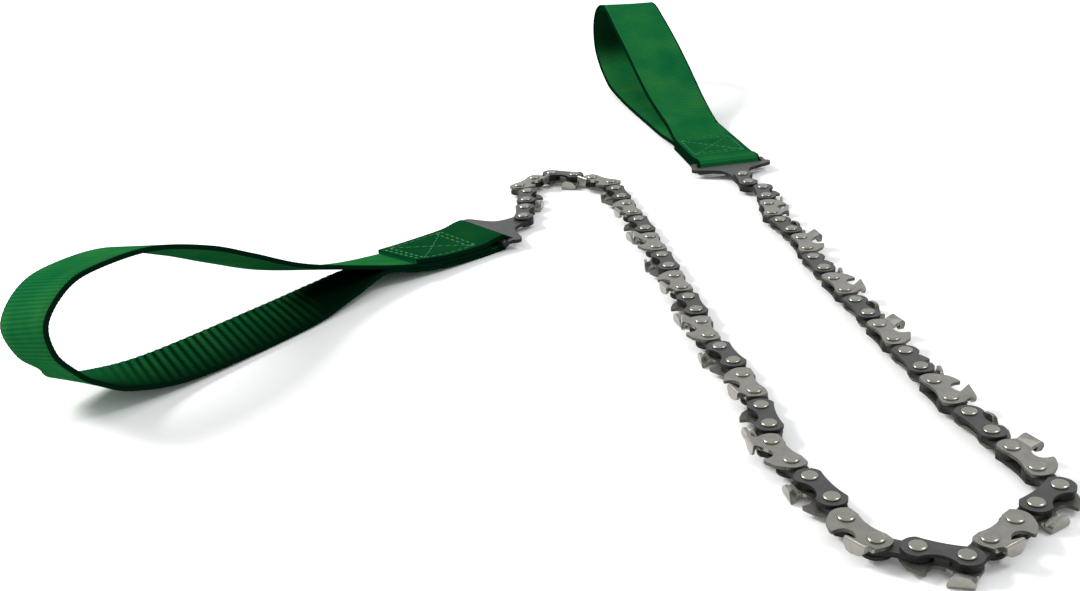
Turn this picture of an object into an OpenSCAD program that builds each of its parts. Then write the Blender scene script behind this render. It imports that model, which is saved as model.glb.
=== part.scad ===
// Pocket chainsaw: a short saw chain of paired plates between two webbing hand loops.
// The chain lies flat on its side in the bend that the photograph shows.
// Millimetres, +Z up. The viewer stands on the -Y side and looks along +Y.

/* [Chain] */
// Distance between the two rivets of an outer link
link_pitch = 10; // [9.9:0.05:10.1]
// Distance between the two rivets of a centre link
gap_pitch = 8.6; // [8.5:0.05:8.7]
// Thickness of an outer plate
plate_t = 0.9; // [0.8:0.05:1]
// Thickness of a centre link
centre_t = 1.3; // [1.1:0.05:1.3]
// Free gap on each face of a centre link
side_play = 0.05; // [0.04:0.01:0.08]

/* [Rivets] */
// Diameter of the rivet where it fills an outer plate
rivet_d = 3.6; // [3.2:0.1:3.8]
// Diameter of the rivet where a centre link turns on it
hub_d = 4.8; // [4.6:0.1:5]
// Diameter of a rivet head
head_d = 4; // [3.9:0.1:4.4]
// Height of a rivet head
head_t = 0.6; // [0.5:0.05:0.7]
// Running clearance on the radius of a turning hole
running_gap = 0.05; // [0.03:0.01:0.08]

/* [Cutters] */
// How far a tooth reaches out from the line of its rivets
tooth_reach = 6; // [5.8:0.05:6.1]
// How far the folded cutting edge reaches across the chain
tooth_fold = 1.95; // [1.8:0.05:2.1]
// How far the side of a tooth leans out from its plate
tooth_set = 1.5; // [1.4:0.05:1.6]
// Height of the depth gauge above the line of rivets
gauge_reach = 6.1; // [5.8:0.1:6.2]

/* [Handles] */
// Width of the webbing
web_w = 25.4; // [24:0.2:25.8]
// Thickness of one layer of webbing
web_t = 1.5; // [1.3:0.1:1.6]
// Length of the sewn stack beside the bracket
stack_l = 35; // [32:1:38]
// Width of a bracket over its shoulders
bracket_w = 32.4; // [31.6:0.2:33]
// Distance from the bracket's rivet to its webbing bar
bar_reach = 20; // [19.6:0.1:20.4]
// Diameter of the webbing bar
bar_d = 2.5; // [2.3:0.1:2.5]

/* [Hidden] */
$fn = 48;
last = 34;
plate_in = centre_t / 2 + side_play;
plate_out = plate_in + plate_t;

// The chain lies on the set corners of its lower teeth
mid = plate_out + tooth_set;
bar_up = bar_d / 2 + 0.1 + web_t + 0.05;

// The lie of the chain, as [links, heading in degrees] for each straight run
lie = [
    [1, -88], [1, -60], [3, -94], [1, -82], [2, -79], [2, -90], [11, -83], [5, -77],
    [4, -140], [2, -207], [1, -245], [1, -262], [3, -253], [1, -277], [2, -269],
    [2, -262], [2, -257], [2, -267], [8, -264], [6, -262],
    [1, -227], [1, -217], [1, -207], [1, -145], [1, -127], [1, -71], [3, -94]
];
heads = [for (run = lie) for (i = [1 : run[0]]) run[1]];
right_head = 98;
left_head = 219;

// Where the first rivet lies, seen from the middle of the whole object
start = [99.1, 45];

function step(i) = i % 2 == 0 ? link_pitch : gap_pitch;
function way(a) = [cos(a), sin(a)];
function walk(i, at) =
    i == len(heads) ? [at] : concat([at], walk(i + 1, at + step(i) * way(heads[i])));
rivets = walk(0, start);
right_bar = rivets[0] + bar_reach * way(right_head);
left_bar = rivets[2 * last + 1] + bar_reach * way(left_head);

// Outer links 0 and 34 are plain. Centre link k lies before outer link k.
function loose(k) = k < 4 || k > 28 || k % 2 == 1;
function two(k) = k < 10 ? str("0", k) : str(k);

// Stations along the middle of each loop of webbing, in the frame of its bar:
// [away from the bar, to the left, height, turn of the width, tilt of the width]
right_stations = [
    [24, 0, 3.8, 1, 1], [39, 0, 4.6, -1, 6], [58, 0.5, 7.2, -3, 10], [77, 1, 12.7, -4, 5],
    [94, 2, 20.7, -4, 0], [111, 3.5, 29.7, -4, -1], [128, 5, 37.6, -5, 0],
    [140, 5.5, 41.6, -5, 1], [148, 6.2, 41.6, -5, 2], [155.5, 7, 37.5, -5, 2],
    [159.5, 7.6, 30, -5, 1], [158.5, 7.7, 20.5, -5, 0], [152.5, 7, 12.9, -5, -1],
    [144, 6.2, 7.8, -5, -2], [135, 5.5, 4.8, -4, -3], [116, 4, 2.9, -4, -5],
    [97, 3, 2.7, -3, -7], [78, 2, 2.9, -3, -9], [59, 1.2, 3, -3, -9],
    [42, 0.3, 2.4, -1, -4], [24, 0, 2.3, 1, 0]
];
left_stations = [
    [24, -1, 0.9, -3, 0], [36, -2, 1.4, -4, 2], [49.5, -1.2, 3.6, 11.5, 12.2],
    [86.3, 6.5, 1.5, 10.7, -1.6], [126.6, 13.7, 2.3, 9.8, -1.4], [146.4, 16.3, 5.5, 5.2, 3.7],
    [157.7, 17.2, 10.2, 9.9, 9.4], [161.6, 16.9, 14.4, 4.7, 12.1], [166.1, 15.8, 20.5, 6, 15.1],
    [166.5, 13.5, 29, 11.3, 14.1], [158.5, 9.9, 36, 14, 12.6], [147.8, 6.8, 38.2, 13.8, 10.8],
    [129.4, 2.6, 37, 12.8, 10.7], [111.2, -0.1, 30.4, 13.1, 13.7], [97.2, -1.3, 23.4, 11.2, 14.7],
    [79.4, -2, 14.7, 7.6, 13.9], [54.8, -2.4, 5.9, 3.7, 12.2], [38, -2.2, 3.7, 0, 4],
    [24, -1, 2.8, 0, 0]
];

// Height above the middle of the chain, in either direction
module layer(low, high) {
    translate([0, 0, mid + low])
        linear_extrude(height = high - low)
            children();
}

module at_link(i) {
    translate([rivets[i].x, rivets[i].y, 0])
        rotate([0, 0, heads[i]])
            children();
}

module rivet() {
    play = 0.02;
    in = plate_in - 0.03;
    shank = rivet_d / 2;
    hub = hub_d / 2;
    cap = head_d / 2;
    top = plate_out + head_t;
    half = [
        [0, top], [cap - 0.5, top], [cap - 0.1, top - 0.25], [cap, plate_out + play],
        [shank, plate_out + play], [shank, in], [hub, in]
    ];
    other = [for (k = [len(half) - 1 : -1 : 0]) [half[k].x, -half[k].y]];
    translate([0, 0, mid])
        rotate_extrude()
            polygon(concat(half, other));
}

module rivet_pair() {
    rivet();
    translate([link_pitch, 0, 0])
        rivet();
}

module rivet_holes(apart, d) {
    for (x = [0, apart])
        translate([x, 0])
            circle(d = d);
}

// A centre link: a narrow-waisted plate that turns on the hub of each rivet
module centre_link() {
    end_r = 3.4;
    waist = 2.5;
    bite = 7;
    layer(-centre_t / 2, centre_t / 2)
        difference() {
            union() {
                rivet_holes(gap_pitch, 2 * end_r);
                translate([0, -end_r])
                    square([gap_pitch, 2 * end_r]);
            }
            rivet_holes(gap_pitch, hub_d + 2 * running_gap);
            for (side = [-1, 1])
                translate([gap_pitch / 2, side * (waist + bite)])
                    circle(r = bite);
        }
}

// A tie strap: it closes the side of an outer link that has no tooth
module tie_shape() {
    end_r = 3.65;
    inner = 2.9;
    outer = 1.75;
    shallow = 30;
    bite = 5.4;
    difference() {
        union() {
            rivet_holes(link_pitch, 2 * end_r);
            translate([0, -end_r])
                square([link_pitch, 2 * end_r]);
        }
        rivet_holes(link_pitch, rivet_d + 0.04);
        translate([link_pitch / 2, outer + bite])
            circle(r = bite);
        translate([link_pitch / 2, -inner - shallow])
            circle(r = shallow);
    }
}

// The flat of a cutter, drawn from the tooth's rivet towards the gauge's rivet
module cutter_shape() {
    base = 2.95;
    waist = 2.05;
    shallow = 12;
    difference() {
        union() {
            circle(r = 3.55);
            translate([link_pitch, 0])
                circle(r = 3.9);
            polygon([
                [-3.4, 1], [-2.9, 3.5], [2.3, 3.5], [3.5, 2.75], [4.7, 2.4], [5.9, 2.55],
                [6.9, 3.3], [7.3, 4.4], [7.3, gauge_reach], [8.3, gauge_reach - 0.1],
                [11, 4.8], [12.8, 2.8],
                [link_pitch, -3.5], [0, -3.5]
            ]);
        }
        rivet_holes(link_pitch, rivet_d + 0.04);
        translate([-5, -base - 2])
            square([link_pitch + 10, 2]);
        translate([link_pitch / 2, -waist - shallow])
            circle(r = shallow);
    }
}

// The tooth: the side leans out, and the cutting edge is folded back over the chain
module tooth() {
    relief = 9.3;
    wall = 1;
    up = plate_out + tooth_set;
    low = plate_out - tooth_fold;
    intersection() {
        rotate([0, 0, relief])
            rotate([90, 0, 90])
                translate([0, 0, -6])
                    linear_extrude(height = 12)
                        polygon([
                            [2.5, plate_in], [2.5, plate_out], [3.4, plate_out + 0.1],
                            [tooth_reach - 0.6, up], [tooth_reach - 0.2, up],
                            [tooth_reach, up - 0.4], [tooth_reach, low],
                            [tooth_reach - wall, low], [tooth_reach - wall - 0.1, up - 1.5],
                            [3.5, plate_in + 0.15]
                        ]);
        rotate([90, 0, 0])
            translate([0, 0, -8])
                linear_extrude(height = 16)
                    polygon([
                        [3, up], [2.9, plate_in + 0.7], [2.3, low + 0.5], [1.2, low],
                        [-1.4, low + 0.35], [-2.8, plate_in + 0.6], [-2.7, up]
                    ]);
        translate([0, 0, low])
            linear_extrude(height = up - low)
                polygon([[-2.9, 2.6], [-2.8, 7.3], [3.2, 7.3], [2.9, 6.4], [2.2, 4], [2.3, 2.6]]);
    }
}

module cutter() {
    linear_extrude(height = plate_t)
        cutter_shape();
    translate([0, 0, -plate_in])
        tooth();
}

// Teeth turn back to back in pairs, and the cutter changes side at each link
module cutter_link(k) {
    tooth_last = k % 4 == 1 || k % 4 == 2;
    above = k % 2 == 0;
    at_link(2 * k) {
        color("gainsboro")
            translate([tooth_last ? link_pitch : 0, 0, mid])
                mirror([tooth_last ? 1 : 0, 0, 0])
                    mirror([0, 0, above ? 0 : 1])
                        translate([0, 0, plate_in])
                            cutter();
        color("dimgray")
            layer(above ? -plate_out : plate_in, above ? -plate_in : plate_out)
                tie_shape();
        color("silver")
            rivet_pair();
    }
    if (!loose(k + 1))
        color("dimgray")
            at_link(2 * k + 1)
                centre_link();
}

module loose_centre_link(k) {
    color("dimgray")
        at_link(2 * k - 1)
            centre_link();
}

module end_link(i) {
    at_link(i) {
        color("dimgray") {
            layer(plate_in, plate_out)
                tie_shape();
            layer(-plate_out, -plate_in)
                tie_shape();
        }
        color("silver")
            rivet_pair();
    }
}

// A bracket, drawn from its rivet: tab, neck, shoulders, two lugs and the webbing bar
module bracket() {
    half = bracket_w / 2;
    inside = web_w / 2 + 0.5;
    outside = inside + 1.6;
    tip_r = 1.6;
    lug_end = bar_reach + bar_d / 2 + 0.3;
    color("dimgray") {
        layer(-centre_t / 2, centre_t / 2)
            difference() {
                union() {
                    circle(r = 3.7);
                    for (side = [-1, 1]) {
                        polygon([
                            [0, 0], [0, side * 3.7], [3, side * 3.7], [7, side * 4.7],
                            [9.4, side * 6], [11, side * 8.8], [12.6, side * 12.8],
                            [14, side * (half - 0.9)], [15.4, side * (half - tip_r)],
                            [17, side * outside], [lug_end, side * outside], [lug_end, 0]
                        ]);
                        translate([15.4, side * (half - tip_r)])
                            circle(r = tip_r);
                    }
                }
                circle(d = hub_d + 2 * running_gap);
                translate([bar_reach - 4.2, -inside])
                    square([12, 2 * inside]);
            }
        translate([bar_reach, 0.3 - outside, bar_up])
            rotate([-90, 0, 0])
                cylinder(d = bar_d, h = 2 * outside - 0.6);
    }
}

function unit(a) = a / norm(a);
function held(list, i) = list[max(0, min(len(list) - 1, i))];

// A smooth curve through every station
function bow(list, i, t) =
    let (a = held(list, i - 1), b = held(list, i), c = held(list, i + 1), d = held(list, i + 2))
    (2 * b + (c - a) * t + (2 * a - 5 * b + 4 * c - d) * t * t
        + (3 * b - a - 3 * c + d) * t * t * t) / 2;
function smooth(list, parts) = concat(
    [for (i = [0 : len(list) - 2]) for (k = [0 : parts - 1]) bow(list, i, k / parts)],
    [list[len(list) - 1]]
);
function place(s) = [s[0], s[1], s[2]];
function lean(s) = [sin(-s[3]) * cos(s[4]), cos(s[3]) * cos(s[4]), sin(s[4])];

// The four corners of the webbing at each station
function corners(list) = [
    for (i = [0 : len(list) - 1])
        let (
            at = place(list[i]),
            along = unit(place(held(list, i + 1)) - place(held(list, i - 1))),
            raw = lean(list[i]),
            across = unit(raw - (raw * along) * along),
            face = cross(along, across),
            w = across * web_w / 2,
            t = face * web_t / 2
        )
        each [at - w - t, at + w - t, at + w + t, at - w + t]
];

module ribbon(stations) {
    path = smooth(stations, 3);
    points = corners(path);
    n = len(path);
    sides = [
        for (i = [0 : n - 2])
            for (k = [0 : 3])
                let (a = 4 * i + k, b = 4 * i + (k + 1) % 4)
                each [[a, b + 4, b], [a, a + 4, b + 4]]
    ];
    e = 4 * (n - 1);
    ends = [[0, 1, 2], [0, 2, 3], [e, e + 2, e + 1], [e, e + 3, e + 2]];
    polyhedron(points, concat(sides, ends));
}

// The webbing wraps the bar, and its three layers are sewn flat beside it
module sewn_stack() {
    inner = bar_d / 2 + 0.1;
    outer = inner + web_t;
    thick = 3 * web_t;
    low = 0.05;
    translate([0, web_w / 2, 0])
        rotate([90, 0, 0])
            linear_extrude(height = web_w)
                difference() {
                    union() {
                        translate([0, bar_up])
                            circle(r = outer);
                        polygon([
                            [0, bar_up + outer], [9, low + thick], [stack_l, low + thick],
                            [stack_l, low], [9, low], [0, bar_up - outer]
                        ]);
                    }
                    translate([0, bar_up])
                        circle(r = inner);
                }
}

module webbing_loop(stations) {
    color("seagreen")
        union() {
            sewn_stack();
            ribbon(stations);
        }
}

module at_right_handle() {
    translate([rivets[0].x, rivets[0].y, 0])
        rotate([0, 0, right_head])
            children();
}

module at_left_handle() {
    end = rivets[2 * last + 1];
    translate([end.x, end.y, 0])
        rotate([0, 0, left_head])
            children();
}

module right_webbing_loop() {
    at_right_handle()
        translate([bar_reach, 0, 0])
            webbing_loop(right_stations);
}

module left_webbing_loop() {
    at_left_handle()
        translate([bar_reach, 0, 0])
            webbing_loop(left_stations);
}

right_webbing_loop();
at_right_handle() bracket();  // right_bracket
end_link(0);  // right_end_link
for (k = [1 : last - 1])
    cutter_link(k);
for (k = [1 : last])
    if (loose(k))
        loose_centre_link(k);
end_link(2 * last);  // left_end_link
at_left_handle() bracket();  // left_bracket
left_webbing_loop();
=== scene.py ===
# %% [markdown]
# # A pocket chainsaw
# A short saw chain lies on its side in a long bend, with a green webbing hand loop at each end.
# The chain is 35 riveted links with a narrow centre link between each pair. Each cell below
# makes one kind of piece, prints what it made, and leaves it ready for the next.

# %% Set up the bench
from math import cos, pi, radians, sin

import bmesh
import bpy
from mathutils import Matrix, Vector


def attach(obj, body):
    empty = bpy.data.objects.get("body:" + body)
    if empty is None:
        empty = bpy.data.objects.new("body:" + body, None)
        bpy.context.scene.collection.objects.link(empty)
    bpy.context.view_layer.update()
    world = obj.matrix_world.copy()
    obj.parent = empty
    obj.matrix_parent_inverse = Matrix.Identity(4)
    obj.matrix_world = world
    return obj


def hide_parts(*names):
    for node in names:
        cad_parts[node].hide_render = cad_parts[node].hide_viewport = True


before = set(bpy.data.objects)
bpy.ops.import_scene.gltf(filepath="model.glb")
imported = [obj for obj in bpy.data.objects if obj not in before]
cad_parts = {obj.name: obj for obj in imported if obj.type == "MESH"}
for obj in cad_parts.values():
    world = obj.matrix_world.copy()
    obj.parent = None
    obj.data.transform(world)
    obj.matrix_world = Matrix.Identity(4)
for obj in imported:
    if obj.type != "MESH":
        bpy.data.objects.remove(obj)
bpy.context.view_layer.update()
MM = 0.001

# %% [markdown]
# ## The camera
# A camera is placed by its eye point and by the three directions of its picture. It stands low
# over the near bend, looks along the chain, and is turned a little about its own line of sight.

# %% Set the camera
EYE = Vector((17.0, -445.9, 165.7)) * MM
PITCH_DOWN = radians(22.75)
ROLL = radians(-4.3)
LENS = 44.18

camera = bpy.data.objects.new("camera", bpy.data.cameras.new("camera"))
bpy.context.scene.collection.objects.link(camera)
camera.data.lens = LENS
camera.data.sensor_width = 36
camera.data.clip_start = 0.01
ahead = Vector((0, cos(PITCH_DOWN), -sin(PITCH_DOWN)))
level_up = Vector((0, sin(PITCH_DOWN), cos(PITCH_DOWN)))
level_right = Vector((1, 0, 0))
picture_right = level_right * cos(ROLL) + level_up * sin(ROLL)
picture_up = level_up * cos(ROLL) - level_right * sin(ROLL)
facing = Matrix((picture_right, picture_up, -ahead)).transposed()
camera.matrix_world = Matrix.Translation(EYE) @ facing.to_4x4()
bpy.context.scene.camera = camera
print("camera at", tuple(round(v, 4) for v in EYE))

# %% [markdown]
# ## Wiring helpers
# Finishes and Geometry Nodes are both trees of nodes. One small class wraps a socket, so that
# sums are written as sums, and another adds any node with its settings and its inputs.

# %% Make the wiring helpers
class Value:
    """A socket that can be added and multiplied."""

    def __init__(self, wiring, socket):
        self.wiring = wiring
        self.socket = socket

    def math(self, operation, a, b):
        node = self.wiring.tree.nodes.new("ShaderNodeMath")
        node.operation = operation
        for socket, value in zip(node.inputs, (a, b)):
            self.wiring.fill(socket, value)
        return Value(self.wiring, node.outputs[0])

    def __add__(self, other):
        return self.math("ADD", self, other)

    def __sub__(self, other):
        return self.math("SUBTRACT", self, other)

    def __rsub__(self, other):
        return self.math("SUBTRACT", other, self)

    def __mul__(self, other):
        return self.math("MULTIPLY", self, other)

    def __gt__(self, other):
        return self.math("GREATER_THAN", self, other)

    __radd__ = __add__
    __rmul__ = __mul__


class Wiring:
    """A tree of nodes that is filled one node at a time."""

    def fill(self, socket, value):
        if isinstance(value, Value):
            self.tree.links.new(value.socket, socket)
        elif value is not None:
            socket.default_value = value

    def node(self, kind, settings=None, stops=(), out=0, **values):
        node = self.tree.nodes.new(kind)
        for key, value in (settings or {}).items():
            setattr(node, key, value)
        if stops:
            ramp = node.color_ramp
            while len(ramp.elements) < len(stops):
                ramp.elements.new(1)
            for element, (place, colour) in zip(ramp.elements, stops):
                element.position = place
                element.color = (*colour, 1)
        for key, value in values.items():
            self.fill(node.inputs[key.replace("_", " ")], value)
        return Value(self, node.outputs[out])


class Finish(Wiring):
    """A new material with its shader ready."""

    def __init__(self, name, metallic, specular=0.5):
        self.material = bpy.data.materials.new(name)
        self.material.use_nodes = True
        self.tree = self.material.node_tree
        self.shader = self.tree.nodes["Principled BSDF"]
        self.shader.inputs["Metallic"].default_value = metallic
        self.shader.inputs["Specular IOR Level"].default_value = specular

    def feed(self, **values):
        for key, value in values.items():
            self.fill(self.shader.inputs[key.replace("_", " ")], value)

    def spot(self):
        return self.node("ShaderNodeTexCoord", out=3)

    def blend(self, one, other, share):
        """A colour between two, moving to the second as the share goes from 0 to 1."""
        node = self.tree.nodes.new("ShaderNodeMix")
        node.data_type = "RGBA"
        for socket, value in zip((node.inputs[0], node.inputs[6], node.inputs[7]), (share, one, other)):
            self.fill(socket, value)
        return Value(self, node.outputs[2])


class Recipe(Wiring):
    """A Geometry Nodes tree with named inputs."""

    def __init__(self, name):
        self.tree = bpy.data.node_groups.new(name, "GeometryNodeTree")
        self.start = self.tree.nodes.new("NodeGroupInput")
        self.end = self.tree.nodes.new("NodeGroupOutput")
        self.keys = {}
        self.tree.interface.new_socket("Geometry", in_out="OUTPUT", socket_type="NodeSocketGeometry")

    def ask(self, name, kind):
        made = self.tree.interface.new_socket(name, in_out="INPUT", socket_type="NodeSocket" + kind)
        self.keys[name] = made.identifier
        return Value(self, self.start.outputs[name])

    def attribute(self, name, kind):
        return self.node("GeometryNodeInputNamedAttribute", {"data_type": kind}, Name=name)

    def finish(self, *branches):
        """Joins the branches and ends the tree."""
        join = self.tree.nodes.new("GeometryNodeJoinGeometry")
        for branch in branches:
            self.tree.links.new(branch.socket, join.inputs[0])
        self.tree.links.new(join.outputs[0], self.end.inputs[0])

    def run(self, thing, values):
        """Gives an object the tree's result as a plain mesh."""
        step = thing.modifiers.new("recipe", "NODES")
        step.node_group = self.tree
        for name, value in values.items():
            step[self.keys[name]] = value
        return settle(thing)


def settle(thing):
    """Turns an object's modifiers into its plain mesh."""
    seen = bpy.context.evaluated_depsgraph_get()
    mesh = bpy.data.meshes.new_from_object(thing.evaluated_get(seen))
    thing.modifiers.clear()
    thing.data = mesh
    return thing


def stand(name, mesh):
    thing = bpy.data.objects.new(name, mesh)
    bpy.context.scene.collection.objects.link(thing)
    return thing


print("wiring helpers ready")

# %% [markdown]
# ## Steel
# The cutters are plated and satin, the straps and brackets are blackened, and the rivet heads
# are bare and polished by use. All three are one recipe: a cloudy tone, a fine grain over it,
# and a roughness and relief that follow both. Each pattern marks its upright, sheared faces, and
# the finish makes them rougher and paints them darker as painted shade; on a rivet head this is
# the painted shadow under it. The inner face of a cutter is marked three quarters as much.

# %% Mix the steels
def steel(name, dark, light, rough, relief, painted_edge_shade=0.3):
    finish = Finish(name, metallic=0.9)
    spot = finish.spot()
    cloud = finish.node("ShaderNodeTexNoise", Vector=spot, Scale=210.0, Detail=6.0, Roughness=0.62)
    grain = finish.node("ShaderNodeTexNoise", Vector=spot, Scale=1700.0, Detail=3.0, Roughness=0.7)
    edge = finish.node("ShaderNodeAttribute", {"attribute_name": "painted_edge_shade"}, out=2)
    tone = cloud * 0.7 + grain * 0.3
    face = finish.node("ShaderNodeValToRGB", stops=[(0.32, dark), (0.68, light)], Fac=tone)
    # Upright faces are painted darker here, as painted shade.
    edge_shade_colour = tuple(0.5 * (a + b) * painted_edge_shade for a, b in zip(dark, light))
    finish.feed(
        Base_Color=finish.blend(face, (*edge_shade_colour, 1), edge * (grain * 0.5 + 0.68)),
        Roughness=cloud * 0.22 + grain * 0.12 + edge * 0.2 + rough,
        Normal=finish.node("ShaderNodeBump", Height=tone, Strength=relief, Distance=0.00004),
    )
    return finish.material


plated = steel("satin_plating", (0.235, 0.225, 0.195), (0.335, 0.325, 0.295), 0.13, 0.22)
blackened = steel("blackened_steel", (0.065, 0.067, 0.064), (0.115, 0.117, 0.112), 0.24, 0.35, 0.22)
bare = steel("bare_rivet_steel", (0.27, 0.26, 0.225), (0.34, 0.33, 0.285), 0.1, 0.06, 0.08)
print("steels:", plated.name, blackened.name, bare.name)

# %% [markdown]
# ## Webbing
# Flat webbing shows a fine rib across it at every weft yarn, warp yarns along it, and a tight
# selvedge, whose edges are painted nearly black as painted shade. The strap carries its own map in
# millimetres, X across from its middle and Y along it, so that the weave follows every bend. A
# second mark on the strap paints shade deep between two slack ripples and on the loops' inner faces, and
# darkens the sewn stacks.

# %% Mix the webbing and its thread
RIB_STEP = 1.3
WAVE_UNIT = 20
# Past this distance from the middle, the strap is painted nearly black as painted shade.
SHADED_EDGE_FROM = 11.9


def webbing_finish():
    finish = Finish("green_webbing", metallic=0, specular=0.0)
    cloth = finish.node("ShaderNodeUVMap", {"uv_map": "strap"})
    ribs = finish.node(
        "ShaderNodeTexWave", {"bands_direction": "Y"}, out=1, Vector=cloth,
        Scale=2 * pi / (WAVE_UNIT * RIB_STEP), Distortion=0.25, Detail=1.5, Detail_Scale=2.0,
    )
    yarns = finish.node(
        "ShaderNodeTexWave", {"bands_direction": "X"}, out=1, Vector=cloth,
        Scale=0.55, Distortion=1.4, Detail=2.0, Detail_Scale=2.0,
    )
    fuzz = finish.node("ShaderNodeTexNoise", Vector=cloth, Scale=3.0, Detail=5.0, Roughness=0.7)
    wear = finish.node("ShaderNodeTexNoise", Vector=cloth, Scale=0.06, Detail=3.0, Roughness=0.5)
    painted_shade_and_darkening = finish.node("ShaderNodeAttribute", {"attribute_name": "painted_shade_and_darkening"}, out=2)
    height = ribs * 0.5 + yarns * 0.25 + fuzz * 0.25
    tone = height * 0.4 + wear * 0.6
    face = finish.node(
        "ShaderNodeValToRGB", Fac=tone,
        stops=[(0.25, (0.001, 0.062, 0.022)), (0.5, (0.006, 0.09, 0.024)), (0.75, (0.022, 0.12, 0.027))],
    )
    across = finish.node("ShaderNodeSeparateXYZ", Vector=cloth)
    from_middle = across.math("ABSOLUTE", across, None)
    # Painted shade: where the mark is high, the face goes nearly black.
    shaded_face = finish.blend(face, (0.0008, 0.008, 0.003, 1), painted_shade_and_darkening)
    finish.feed(
        # The strap's edges and sides are painted nearly black as painted shade.
        Base_Color=finish.blend(shaded_face, (0.001, 0.008, 0.004, 1), (from_middle > SHADED_EDGE_FROM) * 0.97),
        Roughness=fuzz * 0.3 + 0.55,
        Normal=finish.node("ShaderNodeBump", Height=height, Strength=0.4, Distance=0.00013),
    )
    return finish.material


def thread_finish():
    finish = Finish("sewing_thread", metallic=0, specular=0.15)
    twist = finish.node(
        "ShaderNodeTexWave", {"bands_direction": "DIAGONAL"}, out=1,
        Vector=finish.spot(), Scale=900.0, Distortion=1.0,
    )
    finish.feed(
        Base_Color=finish.node(
            "ShaderNodeValToRGB", stops=[(0, (0.004, 0.09, 0.03)), (1, (0.014, 0.19, 0.07))], Fac=twist
        ),
        Roughness=twist * 0.2 + 0.5,
    )
    return finish.material


webbing_green = webbing_finish()
thread_green = thread_finish()
print("cloth finishes:", webbing_green.name, thread_green.name)

# %% [markdown]
# ## The lie of the chain
# Each run is a number of segments and the heading that they share, in degrees. Outer links and
# centre links take turns, so walking the runs gives the place of every rivet.

# %% Walk along the chain
LINK = 10.0
GAP = 8.6
MIDDLE = 3.1
PLATE_IN = 0.7
PLATE_OUT = 1.6
LAST = 34
START = Vector((99.1, 45))
LIE = [
    (1, -88), (1, -60), (3, -94), (1, -82), (2, -79), (2, -90), (11, -83), (5, -77),
    (4, -140), (2, -207), (1, -245), (1, -262), (3, -253), (1, -277), (2, -269),
    (2, -262), (2, -257), (2, -267), (8, -264), (6, -262),
    (1, -227), (1, -217), (1, -207), (1, -145), (1, -127), (1, -71), (3, -94),
]
heads = [radians(heading) for count, heading in LIE for _ in range(count)]
rivets = [START]
for number, heading in enumerate(heads):
    step = GAP if number % 2 else LINK
    rivets.append(rivets[-1] + step * Vector((cos(heading), sin(heading))))
print(len(rivets), "rivets, the last at", tuple(round(v, 1) for v in rivets[-1]))

# %% [markdown]
# ## Cutting tools
# A stamped plate is easiest to make as it is stamped: blocks and discs of the plate's thickness
# are joined, and round bites are taken out of it. Its edges are then broken with a small bevel,
# because no real edge is perfectly sharp and the bevel is what catches the light.

# %% Make the cutting tools
def block(points, low, high):
    """A straight block over an outline in the XY plane."""
    form = bmesh.new()
    face = form.faces.new([form.verts.new((x, y, low)) for x, y in points])
    made = bmesh.ops.extrude_face_region(form, geom=[face])["geom"]
    raised = [v for v in made if isinstance(v, bmesh.types.BMVert)]
    bmesh.ops.translate(form, vec=(0, 0, high - low), verts=raised)
    bmesh.ops.recalc_face_normals(form, faces=form.faces)
    mesh = bpy.data.meshes.new("block")
    form.to_mesh(mesh)
    form.free()
    return stand("block", mesh)


def eased(points, r, parts=3):
    """An outline with each corner rounded, starting r before it where there is room."""
    out = []
    for i, point in enumerate(points):
        before, corner, after = (
            Vector(p) for p in (points[i - 1], point, points[(i + 1) % len(points)])
        )
        back, on = before - corner, after - corner
        reach = min(r, 0.45 * back.length, 0.45 * on.length)
        first, last = corner + back.normalized() * reach, corner + on.normalized() * reach
        for k in range(parts + 1):
            t = k / parts
            out.append(tuple(first * (1 - t) ** 2 + corner * (2 * t * (1 - t)) + last * t * t))
    return out


def disc(x, y, r, low, high, sides=48):
    around = [2 * pi * (k + 0.5) / sides for k in range(sides)]
    return block([(x + r * cos(a), y + r * sin(a)) for a in around], low, high)


def box(x0, y0, x1, y1, low, high):
    return block([(x0, y0), (x1, y0), (x1, y1), (x0, y1)], low, high)


def cut(body, tool, operation="UNION"):
    """Joins, cuts or crosses two solids, and leaves the result in the first."""
    step = body.modifiers.new("cut", "BOOLEAN")
    step.operation = operation
    step.solver = "EXACT"
    step.object = tool
    settle(body)
    bpy.data.objects.remove(tool)
    return body


def broken_edges(body, width, name, segments=2):
    """Bevels the sharp edges, turns millimetres to metres, and keeps the shape out of sight."""
    step = body.modifiers.new("edges", "BEVEL")
    step.width = width
    step.segments = segments
    step.limit_method = "ANGLE"
    step.angle_limit = radians(28)
    settle(body)
    # The upright faces are marked for painted shade.
    mark_painted_edge_shade(body)
    return shelve(body, name)


def mark_painted_edge_shade(body, tooth_line=99, inner=0.0):
    """Marks the upright faces for painted shade, up to the line where a tooth begins."""
    values = []
    for face in body.data.polygons:
        if face.normal.z < -0.4 and face.center.z > PLATE_IN - 0.2:
            values.append(inner)
        elif face.normal.z > 0.4 or face.center.y > tooth_line and face.center.x < 3.6:
            values.append(0.0)
        else:
            values.append(1.0 if abs(face.normal.z) < 0.4 else 0.0)
    mark = body.data.attributes.new("painted_edge_shade", "FLOAT", "FACE")
    mark.data.foreach_set("value", values)


def shelve(body, name):
    """A pattern piece is used by the recipes and is not itself part of the object."""
    body.data.transform(Matrix.Scale(MM, 4))
    body.name = name
    bpy.context.scene.collection.objects.unlink(body)
    return body


print("cutting tools ready")

# %% [markdown]
# ## Centre links and tie straps
# Both are plates with two round ends. A centre link is pinched on both sides. A tie strap has a
# nearly straight inner side and a hollow outer side that clears the tooth across from it.

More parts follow.
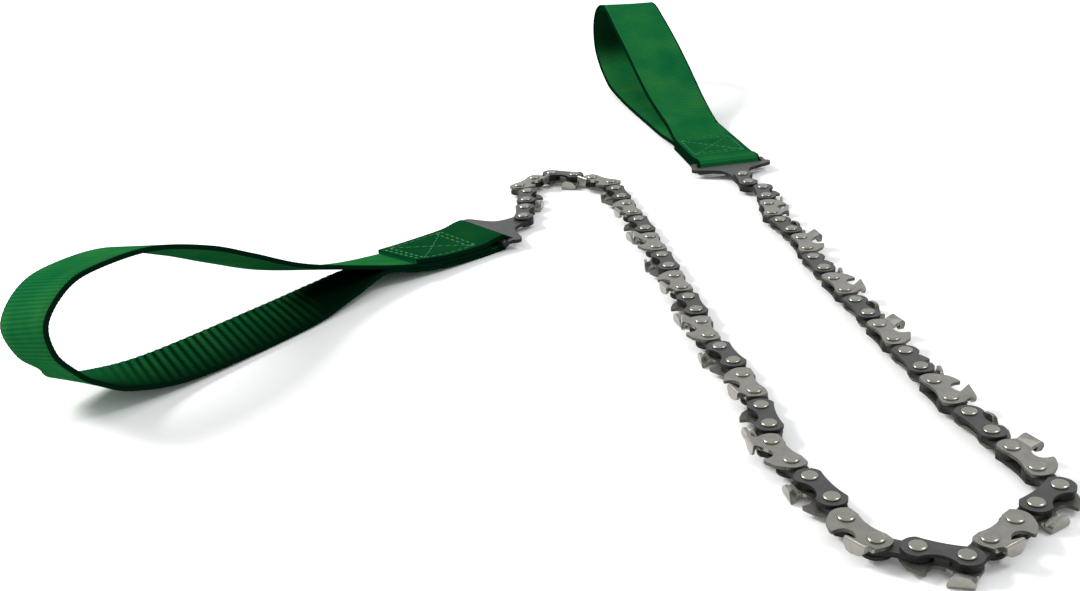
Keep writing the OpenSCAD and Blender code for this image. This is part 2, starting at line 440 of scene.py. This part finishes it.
# %% Cut the centre link and the tie strap
def centre_shape():
    end_r, waist, bite, half = 3.4, 2.5, 7.0, 0.65
    body = disc(0, 0, end_r, -half, half)
    cut(body, disc(GAP, 0, end_r, -half, half))
    cut(body, box(0, 0.02 - end_r, GAP, end_r - 0.02, -half, half))
    for way in (-1, 1):
        cut(body, disc(GAP / 2, way * (waist + bite), bite, -2, 2, 96), "DIFFERENCE")
    return broken_edges(body, 0.12, "centre_pattern")


def tie_shape():
    end_r, hollow, bite, shallow = 3.65, 1.75, 5.4, 30.0
    body = disc(0, 0, end_r, PLATE_IN, PLATE_OUT)
    cut(body, disc(LINK, 0, end_r, PLATE_IN, PLATE_OUT))
    cut(body, box(0, 0.02 - end_r, LINK, end_r - 0.02, PLATE_IN, PLATE_OUT))
    cut(body, disc(LINK / 2, hollow + bite, bite, -1, 3, 96), "DIFFERENCE")
    cut(body, disc(LINK / 2, -2.9 - shallow, shallow, -1, 3, 360), "DIFFERENCE")
    return broken_edges(body, 0.14, "tie_pattern")


centre_pattern, tie_pattern = centre_shape(), tie_shape()
print("faces:", len(centre_pattern.data.polygons), len(tie_pattern.data.polygons))

# %% [markdown]
# ## Cutters
# A cutter is one stamping: two rivet ends, a depth gauge with a sharp corner, an open gullet, and
# a tooth whose side leans out and whose top is folded back over the chain. The tooth is the
# part that three outlines share: its section, its side view and its plan. A round file is then
# passed through it, which hollows the front and leaves the cutting edge.

# %% Cut the cutter
TOOTH_LEAN = 1.5
TOOTH_LOW = PLATE_OUT - 1.95
RELIEF = radians(9.3)


def tooth_shape():
    high, low = PLATE_OUT + TOOTH_LEAN, TOOTH_LOW
    section = block(
        [(2.5, PLATE_IN), (2.5, PLATE_OUT), (3.15, PLATE_OUT + 0.03), (5.2, high - 0.09),
         (5.35, high - 0.02), (5.52, high - 0.03), (5.7, high - 0.16), (5.83, high - 0.38),
         (5.92, high - 0.65), (6, high - 1.1), (6, low), (5.1, low), (5.05, 1.1), (4.9, 1.5),
         (4.6, 1.5), (3.5, 0.8)], -6, 6,
    )
    upright = Matrix(((0, 0, 1, 0), (1, 0, 0, 0), (0, 1, 0, 0), (0, 0, 0, 1)))
    section.data.transform(Matrix.Rotation(RELIEF, 4, "Z") @ upright)
    side_view = block(eased(
        [(3, high), (2.9, 1.4), (2.3, low + 0.5), (1.2, low), (-1.4, low + 0.35), (-2.8, 1.3),
         (-2.7, high)], 0.5), -8, 8,
    )
    side_view.data.transform(Matrix.Rotation(pi / 2, 4, "X"))
    cut(section, side_view, "INTERSECT")
    plan = block(
        eased([(-2.9, 2.6), (-2.8, 7.3), (3.2, 7.3), (2.9, 6.4), (2.2, 4), (2.3, 2.6)], 0.3),
        low - 1, high + 1,
    )
    cut(section, plan, "INTERSECT")
    file = disc(0, 0, 2.2, -6, 6, 40)
    file.data.transform(Matrix.Translation((4.35, 5.05, 1)) @ Matrix.Rotation(radians(20), 4, "Y"))
    return cut(section, file, "DIFFERENCE")


def cutter_shape(name):
    body = disc(0, 0, 3.55, PLATE_IN, PLATE_OUT)
    cut(body, disc(LINK, 0, 3.9, PLATE_IN, PLATE_OUT))
    cut(body, block(eased([
        (-3.4, 1), (-2.9, 3.5), (2.3, 3.5), (3.5, 2.75), (4.7, 2.4), (5.9, 2.55), (6.9, 3.3),
        (7.3, 4.4), (7.3, 6.1), (8.3, 6), (11, 4.8), (12.8, 2.8), (10, -3.5), (0, -3.5),
    ], 0.5), PLATE_IN, PLATE_OUT))
    cut(body, box(-5, -5, 15, -2.95, -4, 4), "DIFFERENCE")
    cut(body, disc(LINK / 2, -2.05 - 12, 12, -4, 4, 160), "DIFFERENCE")
    cut(body, tooth_shape())
    step = body.modifiers.new("edges", "BEVEL")
    step.width = 0.11
    step.segments = 2
    step.limit_method = "ANGLE"
    step.angle_limit = radians(28)
    settle(body)
    # Painted shade: the cutter's upright faces go dark, and its inner face three quarters as dark.
    mark_painted_edge_shade(body, tooth_line=2.6, inner=0.75)
    return shelve(body, name)


cutter_pattern = cutter_shape("cutter_pattern")
print("faces:", len(cutter_pattern.data.polygons))

# %% [markdown]
# ## Rivets
# A riveted head is pressed nearly flat and keeps a soft rim where the metal spread. A rivet is
# turned, so its half outline is drawn and spun, its doubles are merged, and its faces are
# turned outwards.

# %% Turn the rivet
def rivet_shape():
    top = PLATE_OUT + 0.6
    rim = [(0.0, top - 0.05), (0.8, top - 0.045), (1.15, top - 0.02), (1.35, top), (1.56, top - 0.03),
           (1.72, top - 0.1), (1.86, top - 0.19), (1.96, top - 0.28), (2.0, top - 0.35),
           (1.8, PLATE_OUT - 0.01)]
    half = rim + [(1.8, 0)]
    outline = half + [(r, -z) for r, z in reversed(half[:-1])]
    form = bmesh.new()
    points = [form.verts.new((r, 0, z)) for r, z in outline]
    edges = [form.edges.new(pair) for pair in zip(points, points[1:])]
    bmesh.ops.spin(
        form, geom=points + edges, axis=(0, 0, 1), cent=(0, 0, 0), angle=2 * pi, steps=36,
        use_merge=True,
    )
    bmesh.ops.remove_doubles(form, verts=form.verts, dist=0.001)
    bmesh.ops.recalc_face_normals(form, faces=form.faces)
    mesh = bpy.data.meshes.new("rivet")
    form.to_mesh(mesh)
    form.free()
    turned = stand("rivet", mesh)
    # Painted shadow: the side of each head is marked dark, as the dark line under it.
    mark_painted_edge_shade(turned)
    return shelve(turned, "rivet_pattern")


rivet_pattern = rivet_shape()
print("faces:", len(rivet_pattern.data.polygons))

# %% [markdown]
# ## Laying the links
# A link is a few marked points: each says which pattern stands there, how far it is turned, and
# which way it is mirrored. One Geometry Nodes recipe sets the patterns on their points, makes
# them real and gives each its finish, so that every moving body becomes one plain mesh.

# %% Write the recipe for a link
PATTERNS = {
    "cutter": (cutter_pattern, plated),
    "tie strap": (tie_pattern, blackened),
    "centre link": (centre_pattern, blackened),
    "rivet": (rivet_pattern, bare),
}
link_recipe = Recipe("riveted_link")
marks = link_recipe.ask("Geometry", "Geometry")
kind_of = link_recipe.attribute("pattern", "INT")
turn_of = link_recipe.attribute("turn", "FLOAT_VECTOR")
mirror_of = link_recipe.attribute("mirror", "FLOAT_VECTOR")
branches = []
for code, title in enumerate(PATTERNS):
    pattern = link_recipe.ask(title, "Object")
    coat = link_recipe.ask(title + " finish", "Material")
    chosen = link_recipe.node("FunctionNodeCompare", {"data_type": "INT", "operation": "EQUAL"})
    compare = chosen.socket.node
    link_recipe.fill(compare.inputs[2], kind_of)
    compare.inputs[3].default_value = code
    info = link_recipe.node("GeometryNodeObjectInfo", Object=pattern)
    placed = link_recipe.node(
        "GeometryNodeInstanceOnPoints", Points=marks, Selection=chosen,
        Instance=Value(link_recipe, info.socket.node.outputs["Geometry"]),
        Rotation=turn_of, Scale=mirror_of,
    )
    real = link_recipe.node("GeometryNodeRealizeInstances", Geometry=placed)
    branches.append(link_recipe.node("GeometryNodeSetMaterial", Geometry=real, Material=coat))
link_recipe.finish(*branches)
print("recipe inputs:", list(link_recipe.keys))


# %% Lay the links on their rivets
def mark(title, number, shift=0.0, mirror=(1, 1, 1)):
    """A pattern standing on a rivet, turned to its link's heading."""
    spot, turn = rivets[number], heads[min(number, len(heads) - 1)]
    place = (spot.x + shift * cos(turn), spot.y + shift * sin(turn), MIDDLE)
    return list(PATTERNS).index(title), [v * MM for v in place], (0, 0, turn), mirror


def outward(piece):
    """Turns every face outwards, smooths the round faces and keeps the edges crisp."""
    form = bmesh.new()
    form.from_mesh(piece.data)
    bmesh.ops.recalc_face_normals(form, faces=form.faces)
    form.to_mesh(piece.data)
    form.free()
    piece.data.shade_smooth()
    piece.data.set_sharp_from_angle(angle=radians(38))
    step = piece.modifiers.new("even shading", "WEIGHTED_NORMAL")
    step.keep_sharp = True
    return settle(piece)


def lay(body, points):
    mesh = bpy.data.meshes.new(body)
    mesh.from_pydata([place for _, place, _, _ in points], [], [])
    for name, kind, column, field in (
        ("pattern", "INT", 0, "value"), ("turn", "FLOAT_VECTOR", 2, "vector"),
        ("mirror", "FLOAT_VECTOR", 3, "vector"),
    ):
        marked = mesh.attributes.new(name, kind, "POINT")
        for item, point in zip(marked.data, points):
            setattr(item, field, point[column])
    piece = stand(body + "_steel", mesh)
    values = {}
    for title, (pattern, coat) in PATTERNS.items():
        values[title] = pattern
        values[title + " finish"] = coat
    link_recipe.run(piece, values)
    outward(piece)
    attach(piece, body)
    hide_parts(body)
    return piece


def is_loose(k):
    """A centre link that turns on both of its rivets; the rest go with the cutter before them."""
    return k < 4 or k > 28 or k % 2 == 1


laid = []
for name, number in (("right_end_link", 0), ("left_end_link", 2 * LAST)):
    laid.append(lay(name, [
        mark("tie strap", number), mark("tie strap", number, mirror=(1, 1, -1)),
        mark("rivet", number), mark("rivet", number, shift=LINK),
    ]))
for k in range(1, LAST):
    number, above = 2 * k, 1 if k % 2 == 0 else -1
    tooth_last = k % 4 in (1, 2)
    points = [
        mark(
            "cutter", number,
            shift=LINK if tooth_last else 0.0, mirror=(-1 if tooth_last else 1, 1, above),
        ),
        mark("tie strap", number, mirror=(1, 1, -above)),
        mark("rivet", number), mark("rivet", number, shift=LINK),
    ]
    if not is_loose(k + 1):
        points.append(mark("centre link", number + 1))
    laid.append(lay(f"cutter_link_{k:02d}", points))
for k in range(1, LAST + 1):
    if is_loose(k):
        laid.append(lay(f"centre_link_{k:02d}", [mark("centre link", 2 * k - 1)]))
print("laid", len(laid), "bodies,", sum(len(piece.data.polygons) for piece in laid), "faces")

# %% [markdown]
# ## Brackets
# A bracket is stamped from the same stock as a centre link. Its tab turns on the last rivet, its
# neck flares to wide shoulders, and two lugs carry the bar that the webbing wraps.

# %% Stamp the brackets
BAR_REACH = 20.0
BAR_UP = 2.9
RIGHT_HEADING = 98
LEFT_HEADING = 219


def at_handle(rivet, heading):
    return Matrix.Translation((rivet.x, rivet.y, 0)) @ Matrix.Rotation(radians(heading), 4, "Z")


handle_places = {
    "right": at_handle(rivets[0], RIGHT_HEADING),
    "left": at_handle(rivets[-1], LEFT_HEADING),
}


def bracket_shape():
    low, high, inside, outside = MIDDLE - 0.65, MIDDLE + 0.65, 13.2, 14.8
    edge = [(0, 3.68), (3, 3.75), (5, 4.1), (7, 4.7), (8.4, 5.3), (9.6, 6.4), (10.6, 8.2),
            (11.5, 10.3), (12.4, 12.6), (13, 14.2), (13.7, 15.4), (14.7, 16.1), (15.8, 16.1),
            (16.6, 15.6), (17.2, outside), (21.1, outside), (21.5, 14.4), (21.55, inside)]
    body = disc(0, 0, 3.7, low, high)
    cut(body, block([(x, -y) for x, y in edge] + edge[::-1], low, high))
    cut(body, box(15.8, -inside, 30, inside, 0, 6), "DIFFERENCE")
    bar = disc(0, 0, 1.25, -14.4, 14.4, 32)
    bar.data.transform(Matrix.Translation((BAR_REACH, 0, BAR_UP)) @ Matrix.Rotation(pi / 2, 4, "X"))
    cut(body, bar)
    return broken_edges(body, 0.2, "bracket_pattern", segments=3)


bracket_pattern = bracket_shape()
for name, place in handle_places.items():
    mesh = bracket_pattern.data.copy()
    mesh.transform(Matrix.Scale(MM, 4) @ place @ Matrix.Scale(1 / MM, 4))
    mesh.materials.clear()
    mesh.materials.append(blackened)
    bracket = outward(stand(f"{name}_bracket_steel", mesh))
    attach(bracket, f"{name}_bracket")
    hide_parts(f"{name}_bracket")
print("brackets stamped")

# %% [markdown]
# ## The path of the webbing
# Each strap is one strip. It starts as a cut flap, wraps the bar, runs out round the hand loop
# and comes back between its own layers. The path is a list of stations seen from the bar:
# away from it, to the left, height, turn of the width and tilt of the width.

# %% Plan the path of the webbing
WEB_W = 25.4
WEB_T = 1.5
LAYERS = (0.8, 2.3, 3.8)
WRAP_R = 2.1
HAND_LOOPS = {
    "right": [
        (47, 0.2, 5.6, -2, 8), (58, 0.5, 7.2, -3, 10), (77, 1, 12.7, -4, 5), (94, 2, 20.7, -4, 0),
        (111, 3.5, 29.7, -4, -1), (128, 5, 37.6, -5, 0), (140, 5.5, 41.6, -5, 1),
        (148, 6.2, 41.6, -5, 2), (155.5, 7, 37.5, -5, 2), (159.5, 7.6, 30, -5, 1),
        (158.5, 7.7, 20.5, -5, 0), (152.5, 7, 12.9, -5, -1), (144, 6.2, 7.8, -5, -2),
        (135, 5.5, 4.8, -4, -3), (116, 4, 2.9, -4, -5), (97, 3, 2.7, -3, -7),
        (78, 2, 2.9, -3, -9), (59, 1.2, 3, -3, -9), (43, 0.3, 2.6, -1, -3),
    ],
    "left": [
        (49.5, -1.2, 3.75, 11.5, 12.2), (66, 2.1, 2.6, 11.7, 5.4), (86.3, 6.5, 1.5, 10.7, -1.6),
        (126.6, 13.7, 2.3, 9.8, -1.4), (146.4, 16.3, 5.5, 5.2, 3.7), (157.7, 17.2, 10.2, 9.9, 9.4),
        (161.6, 16.9, 14.4, 4.7, 12.1), (166.1, 15.8, 20.5, 6, 15.1), (166.5, 13.5, 29, 11.3, 14.1),
        (158.5, 9.9, 36, 14, 12.6), (147.8, 6.8, 38.2, 13.8, 10.8), (129.4, 2.6, 37, 12.8, 10.7),
        (111.2, -0.1, 30.4, 13.1, 13.7), (97.2, -1.3, 23.4, 11.2, 14.7), (79.4, -2, 14.7, 7.6, 13.9),
        (56, -2.4, 7.3, 3.7, 12.2),
    ],
}


def flat(away, height, left=0.0, turn=0.0, tilt=0.0):
    return (away, left, height, turn, tilt)


def wrap(angles):
    """Half a turn of webbing round the bar, measured from straight below it."""
    return [flat(-WRAP_R * sin(radians(a)), BAR_UP - WRAP_R * cos(radians(a))) for a in angles]


def strap_path(name):
    low, between, high = LAYERS
    upward = wrap(range(0, 181, 15))
    if name == "right":
        below = [flat(3, low), flat(9, low), flat(24, low), flat(36, low)]
        above = [flat(3, 4.75), flat(9, 3.92), flat(24, high), flat(36, high + 0.1, tilt=1)]
        inside = [flat(36, between, tilt=-0.5), flat(20, between), flat(5.5, 2.6)]
        return below[::-1] + upward + above + HAND_LOOPS[name] + inside
    # the free end of this stack is rolled a little, with its near side up
    rolled = [flat(24, 0.45, -0.3, -0.5, 2), flat(36, 1.45, -0.9, -1, 6)]

    def stacked(height):
        return [(x, y, z + height, turn, tilt) for x, y, z, turn, tilt in rolled]

    below = [flat(3, low), flat(9, low)] + stacked(low)
    above = [flat(3, 4.75), flat(9, 3.92)] + stacked(high)
    inside = stacked(between)[::-1] + [flat(9, between), flat(5.5, 2.6)]
    return above[::-1] + upward[::-1] + below + HAND_LOOPS[name] + inside


def bow(a, b, c, d, t):
    """A point on the smooth curve through four stations, from the second to the third."""
    return [
        (2 * q + (r - p) * t + (2 * p - 5 * q + 4 * r - s) * t * t
         + (3 * q - p - 3 * r + s) * t ** 3) / 2
        for p, q, r, s in zip(a, b, c, d)
    ]


def smooth(stations, parts=16):
    path = []
    for i in range(len(stations) - 1):
        window = [stations[min(max(i + k, 0), len(stations) - 1)] for k in (-1, 0, 1, 2)]
        path += [bow(*window, k / parts) for k in range(parts)]
    return path + [list(stations[-1])]


def even_steps(path, step):
    """Points at an even step along the path, and their distances."""
    distance = [0.0]
    for a, b in zip(path, path[1:]):
        distance.append(distance[-1] + (Vector(b[:3]) - Vector(a[:3])).length)
    count = round(distance[-1] / step)
    out, i = [], 0
    for n in range(count + 1):
        want = distance[-1] * n / count
        while i < len(path) - 2 and distance[i + 1] < want:
            i += 1
        share = (want - distance[i]) / max(distance[i + 1] - distance[i], 1e-9)
        out.append((want, [a + (b - a) * share for a, b in zip(path[i], path[i + 1])]))
    return out


for name in HAND_LOOPS:
    print(name, "strap:", round(even_steps(smooth(strap_path(name)), 1.0)[-1][0], 1), "mm long")

# %% [markdown]
# ## Weaving the straps
# A thin section is carried along the path. It swells a little at each weft yarn, so that the
# scalloped selvedge is real shape, and the finer yarns are left to the finish. Where a strap lies
# slack on the floor, its upper face is pushed into slanting ripples as well, with shade painted
# into their hollows. Each darker run has its beginning and end along the strap, how dark it is at
# its right and left edge, and which face it is on; runs on the loops' inner faces are painted shade.

# %% Weave the straps
ACROSS = [-0.488] + [k / 22 for k in range(-10, 11)] + [0.488]
SECTION = (
    [(-0.5, -0.28), (-0.5, 0.28)] + [(u, 0.5) for u in ACROSS]
    + [(0.5, 0.28), (0.5, -0.28)] + [(u, -0.5) for u in (0.488, 0.25, 0, -0.25, -0.488)]
)
RIB_RISE = 0.012
SCALLOP = 0.14
RIPPLE_STEP = 3.0
RIPPLE_SLANT = -0.36
RIPPLE_RISE = 0.17
SLACK = {"left": (84, 200)}
# The first run of each strap darkens its sewn stack; the others are painted shade on the loop's inner
# faces.
DARKER_AND_SHADED_RUNS = {
    "right": [(38, 88, 0.3, 0.3, 1), (190, 240, 0.9, 0.9, -1), (240, 330, 0.45, 0.2, -1)],
    "left": [(-30, 52, 0.6, 0.6, -1), (68, 126, 0.75, 0.7, 1), (84, 215, 0.1, 0.95, 1)],
}


def swing(value, low, high):
    """Rises softly from 0 to 1 between two values."""
    share = min(max((value - low) / (high - low), 0), 1)
    return share * share * (3 - 2 * share)


def weave(name, place):
    path = even_steps(smooth(strap_path(name)), RIB_STEP / 4)
    slack_from, slack_to = SLACK.get(name, (1e6, 2e6))
    form = bmesh.new()
    chart = form.loops.layers.uv.new("strap")
    shade_and_darkening_layer = form.verts.layers.float.new("painted_shade_and_darkening")
    rings = []
    for i, (distance, station) in enumerate(path):
        after = Vector(path[min(i + 1, len(path) - 1)][1][:3])
        before = Vector(path[max(i - 1, 0)][1][:3])
        along = (after - before).normalized()
        turn, tilt = radians(station[3]), radians(station[4])
        across = Vector((-sin(turn) * cos(tilt), cos(turn) * cos(tilt), sin(tilt)))
        across = (across - across.dot(along) * along).normalized()
        face = along.cross(across)
        swell = -cos(2 * pi * distance / RIB_STEP)
        wide = WEB_W + SCALLOP * swell
        slack = swing(distance, slack_from, slack_from + 20) - swing(distance, slack_to - 25, slack_to)
        dark = []
        for first, last, at_right, at_left, side in DARKER_AND_SHADED_RUNS[name]:
            share = swing(distance, first, first + 18) - swing(distance, last - 18, last)
            dark.append((at_right * share, at_left * share, side))
        ring = []
        for u, v in SECTION:
            thick = WEB_T - 0.06 + 2 * RIB_RISE * swell
            ripple = 0.5 - 0.5 * cos(2 * pi * (distance + RIPPLE_SLANT * u * WEB_W) / RIPPLE_STEP)
            hollow = ripple * slack if v > 0.4 else 0.0
            reach = v * thick - hollow * RIPPLE_RISE
            spot = Vector(station[:3]) + across * u * wide + face * reach
            vert = form.verts.new((place @ spot) * MM)
            # Painted shade on the inner faces and in the ripple hollows; the stack runs darken the
            # stacks.
            shade = min(sum(a + (b - a) * (u + 0.5) for a, b, side in dark if v * side > 0), 1)
            vert[shade_and_darkening_layer] = shade + (1 - shade) * hollow
            ring.append(vert)
        rings.append(ring)
    count = len(SECTION)
    for i in range(len(rings) - 1):
        for k in range(count):
            n = (k + 1) % count
            quad = form.faces.new([rings[i][k], rings[i][n], rings[i + 1][n], rings[i + 1][k]])
            for corner, (side, ring) in zip(quad.loops, ((k, i), (n, i), (n, i + 1), (k, i + 1))):
                corner[chart].uv = (SECTION[side][0] * WEB_W, path[ring][0])
    form.faces.new(rings[0])
    form.faces.new(list(reversed(rings[-1])))
    bmesh.ops.recalc_face_normals(form, faces=form.faces)
    mesh = bpy.data.meshes.new(f"{name}_webbing")
    form.to_mesh(mesh)
    form.free()
    mesh.materials.append(webbing_green)
    mesh.shade_smooth()
    mesh.set_sharp_from_angle(angle=radians(50))
    strap = stand(f"{name}_webbing", mesh)
    body = f"{name}_webbing_loop"
    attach(strap, body)
    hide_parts(body)
    path[-1][0] * MM
    return strap


for name, place in handle_places.items():
    strap = weave(name, place @ Matrix.Translation((BAR_REACH, 0, 0)))
    print(strap.name, len(strap.data.polygons), "faces")

# %% [markdown]
# ## The sewing
# A box of stitches with a cross through it holds the three layers, with a second row at each
# end. The seam is drawn as plain lines on the top layer, and a second recipe sets a stitch at
# every step along them, turned to the line.

# %% Sew the stacks
STITCH_STEP = 2.6

stitch_form = bmesh.new()
bmesh.ops.create_uvsphere(stitch_form, u_segments=8, v_segments=6, radius=1)
bmesh.ops.scale(stitch_form, vec=(1.15, 0.26, 0.2), verts=stitch_form.verts)
stitch_mesh = bpy.data.meshes.new("stitch")
stitch_form.to_mesh(stitch_mesh)
stitch_form.free()
stitch_pattern = shelve(stand("stitch", stitch_mesh), "stitch_pattern")

seam_recipe = Recipe("seam")
drawn = seam_recipe.ask("Geometry", "Geometry")
thread = seam_recipe.ask("Stitch", "Object")
thread_coat = seam_recipe.ask("Thread", "Material")
pitch = seam_recipe.ask("Stitch step", "Float")
line = seam_recipe.node("GeometryNodeMeshToCurve", Mesh=drawn)
steps = seam_recipe.node("GeometryNodeResampleCurve", {"mode": "LENGTH"}, Curve=line, Length=pitch)
tangent = seam_recipe.node("GeometryNodeInputTangent")
turned = seam_recipe.node("FunctionNodeAlignRotationToVector", {"axis": "X"}, Vector=tangent)
info = seam_recipe.node("GeometryNodeObjectInfo", Object=thread)
sewn = seam_recipe.node(
    "GeometryNodeInstanceOnPoints", Points=steps, Rotation=turned,
    Instance=Value(seam_recipe, info.socket.node.outputs["Geometry"]),
)
sewn = seam_recipe.node("GeometryNodeRealizeInstances", Geometry=sewn)
seam_recipe.finish(seam_recipe.node("GeometryNodeSetMaterial", Geometry=sewn, Material=thread_coat))


def on_top(path, x, y):
    """The point of the top layer over a place in the stack."""
    station = max((s for _, s in path if abs(s[0] - x) < 0.3), key=lambda s: s[2])
    tilt = radians(station[4])
    rise = (y - station[1]) * sin(tilt) / cos(tilt) + WEB_T / 2 / cos(tilt)
    return Vector((x, y, station[2] + rise + 0.02))


def seam_mesh(name, place):
    """The box, its cross and the second rows, each line a little short of the corners."""
    path = even_steps(smooth(strap_path(name)), 0.25)
    x0, x1, y, row = 10.5, 32.5, 10.3, 2.2
    a, b, c, d = (x0, -y), (x1, -y), (x1, y), (x0, y)
    second = ((x0 + row, -y), (x0 + row, y)), ((x1 + row, -y), (x1 + row, y))
    verts, edges = [], []
    for p, q in ((a, b), (b, c), (c, d), (d, a), (a, c), (b, d), *second):
        p, q = Vector(p), Vector(q)
        inset = (q - p).normalized() * STITCH_STEP / 2
        p, q = p + inset, q - inset
        for k in range(9):
            spot = p + (q - p) * k / 8
            if k:
                edges.append((len(verts) - 1, len(verts)))
            verts.append((place @ on_top(path, spot.x, spot.y)) * MM)
    mesh = bpy.data.meshes.new(f"{name}_sewing")
    mesh.from_pydata(verts, edges, [])
    return mesh


for name, place in handle_places.items():
    seam = seam_mesh(name, place @ Matrix.Translation((BAR_REACH, 0, 0)))
    sewing = stand(f"{name}_sewing", seam)
    seam_recipe.run(sewing, {
        "Stitch": stitch_pattern, "Thread": thread_green, "Stitch step": STITCH_STEP * MM,
    })
    sewing.data.shade_smooth()
    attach(sewing, f"{name}_webbing_loop")
    print(sewing.name, len(sewing.data.polygons), "faces")

# %% [markdown]
# ## The floor and the light
# The object lies on a plain pale floor. A large lamp on the left draws a bright spot on the rim
# of every rivet, a weaker one on the right draws a second, and an even sky fills the rest. The
# picture's tones are kept as they are lit, so that the green stays as strong as the real one.

# %% Lay the floor and hang the lamps
FLOOR_HALF = 6.0
floor_mesh = bpy.data.meshes.new("floor")
corners = [(x * FLOOR_HALF, y * FLOOR_HALF, 0) for x, y in ((-1, -1), (1, -1), (1, 1), (-1, 1))]
floor_mesh.from_pydata(corners, [], [(0, 1, 2, 3)])
floor = stand("floor", floor_mesh)
pale = Finish("pale_floor", metallic=0, specular=0.2)
mottle = pale.node("ShaderNodeTexNoise", Vector=pale.spot(), Scale=30.0, Detail=4.0)
pale.feed(Base_Color=pale.node(
    "ShaderNodeValToRGB", stops=[(0, (0.86, 0.86, 0.85)), (1, (0.9, 0.9, 0.89))], Fac=mottle
))
pale.shader.inputs["Roughness"].default_value = 0.75
floor_mesh.materials.append(pale.material)


def lamp(name, spot, size, watts, colour):
    light = bpy.data.lights.new(name, "AREA")
    light.size = size
    light.energy = watts
    light.color = colour
    thing = stand(name, light)
    thing.location = spot
    thing.rotation_euler = (-Vector(spot)).to_track_quat("-Z", "Y").to_euler()


lamp("window", (-1.1, 0.45, 0.9), 0.5, 26, (1, 0.99, 0.97))
lamp("side", (0.95, -0.2, 1.1), 0.4, 6, (0.97, 0.98, 1))
sky = bpy.data.worlds.new("studio")
sky.use_nodes = True
sky.node_tree.nodes["Background"].inputs["Color"].default_value = (0.97, 0.98, 1, 1)
sky.node_tree.nodes["Background"].inputs["Strength"].default_value = 0.85
bpy.context.scene.world = sky
bpy.context.scene.view_settings.view_transform = "Standard"
print("floor and lamps set")
